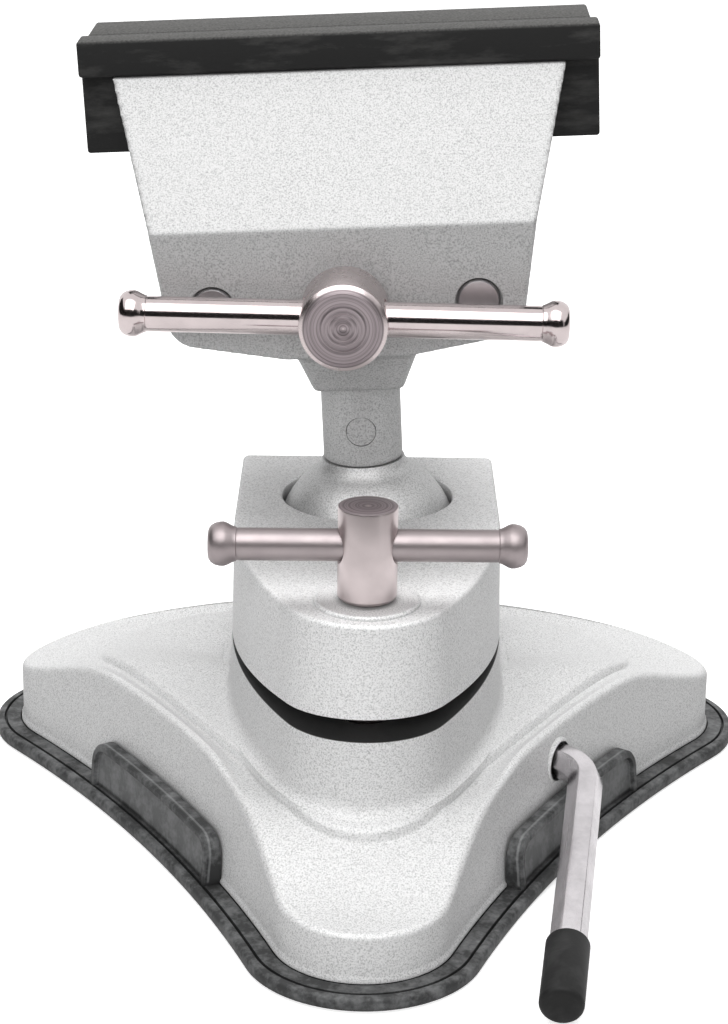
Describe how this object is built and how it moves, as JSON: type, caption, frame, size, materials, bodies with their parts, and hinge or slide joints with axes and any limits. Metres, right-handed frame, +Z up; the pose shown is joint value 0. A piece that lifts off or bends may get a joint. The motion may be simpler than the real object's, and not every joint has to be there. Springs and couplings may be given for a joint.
{
  "type": "suction base vise",
  "caption": "Small bench vise on a three-lobed suction base with a cam lever; its soft-jawed head swivels, tilts and turns on a clamped ball.",
  "frame": {"origin": "centre of the base's flat underside, on the bench: the point from which the three lobes are equally far", "axes": "+Z up out of the bench; -Y towards the lobe under the clamp screw, the side both tommy bars are on; +X to the right as seen from that side, where the suction lever comes out"},
  "size_m": [0.1176, 0.1674, 0.1149],
  "materials": {
    "pad_rubber": "moulded rubber, mottled dark grey",
    "plate_steel": "bare pressed steel",
    "bar_steel": "bare turned steel",
    "black_vinyl": "dipped black vinyl, glossy",
    "silver_casting": "die casting in fine-grained silver paint",
    "seat_plastic": "dark moulded plastic ring",
    "bright_nickel": "bright nickel plate, slightly pink",
    "jaw_rubber": "matte black rubber, dusty",
    "rod_steel": "bright drawn steel"
  },
  "bodies": {
    "base": {"base_casting": "silver_casting", "suction_pad": "pad_rubber"},
    "pull": {"pull_plate": "plate_steel", "pull_stud": "plate_steel"},
    "lever": {"lever_bar": "bar_steel", "lever_cap": "black_vinyl", "cam": "bar_steel", "cam_pin": "bar_steel"},
    "seat": {"ball_seat": "seat_plastic"},
    "ball": {"ball_stud": "silver_casting"},
    "head": {"fixed_jaw": "silver_casting", "fixed_pad": "jaw_rubber", "stem_pin": "silver_casting", "guide_rod_left": "rod_steel", "guide_rod_right": "rod_steel", "thrust_washer": "rod_steel"},
    "screw": {"lead_screw": "bright_nickel", "screw_clip": "rod_steel"},
    "lead_handle": {"lead_bar": "bright_nickel"},
    "jaw": {"moving_jaw": "silver_casting", "moving_pad": "jaw_rubber"},
    "cap": {"clamp_cap": "silver_casting"},
    "clamp": {"clamp_screw": "bright_nickel"},
    "clamp_handle": {"clamp_bar": "bright_nickel"}
  },
  "joints": [
    {"name": "lever_turn", "type": "hinge", "parent": "base", "child": "lever", "pos_m": [0, 0, 0.0132], "axis": [-0.866, 0.5, 0], "range_deg": [0, 150]},
    {"name": "stud_lift", "type": "slide", "parent": "base", "child": "pull", "axis": [0, 0, 1], "range_m": [0, 0.00242]},
    {"name": "ball_swivel", "type": "hinge", "parent": "base", "child": "seat", "pos_m": [0, 0.012, 0.037], "axis": [0, 0, 1], "continuous": true},
    {"name": "head_tilt", "type": "hinge", "parent": "seat", "child": "ball", "pos_m": [0, 0.012, 0.037], "axis": [1, 0, 0], "range_deg": [-33, 26]},
    {"name": "head_turn", "type": "hinge", "parent": "ball", "child": "head", "pos_m": [0, 0.012, 0.037], "axis": [-0.0526, -0.0165, 0.9985], "continuous": true},
    {"name": "lead_screw_turn", "type": "hinge", "parent": "head", "child": "screw", "pos_m": [-0.00333, 0.01137, 0.07647], "axis": [-0.0174, -0.9997, -0.0175], "range_deg": [0, 9904]},
    {"name": "jaw_slide", "type": "slide", "parent": "head", "child": "jaw", "axis": [0.0174, 0.9997, 0.0175], "range_m": [0, 0.055]},
    {"name": "lead_bar_slide", "type": "slide", "parent": "screw", "child": "lead_handle", "axis": [0.9998, -0.0173, -0.0087], "range_m": [-0.0205, 0.0205]},
    {"name": "clamp_screw_turn", "type": "hinge", "parent": "cap", "child": "clamp", "pos_m": [0, -0.0326, 0.044], "axis": [0, 0, 1], "range_deg": [0, 360]},
    {"name": "cap_hinge", "type": "hinge", "parent": "base", "child": "cap", "pos_m": [0, 0.028, 0.0266], "axis": [-1, 0, 0], "range_deg": [0, 0.955]},
    {"name": "clamp_bar_slide", "type": "slide", "parent": "clamp", "child": "clamp_handle", "axis": [1, 0.0087, 0], "range_m": [-0.01255, 0.01255]}
  ],
  "couplings": [
    {"joint": "stud_lift", "follows": "lever_turn", "m_per_rad": 0.00092239},
    {"joint": "lead_screw_turn", "follows": "jaw_slide", "rad_per_m": 3141.6},
    {"joint": "cap_hinge", "follows": "clamp_screw_turn", "ratio": 0.0026263}
  ]
}
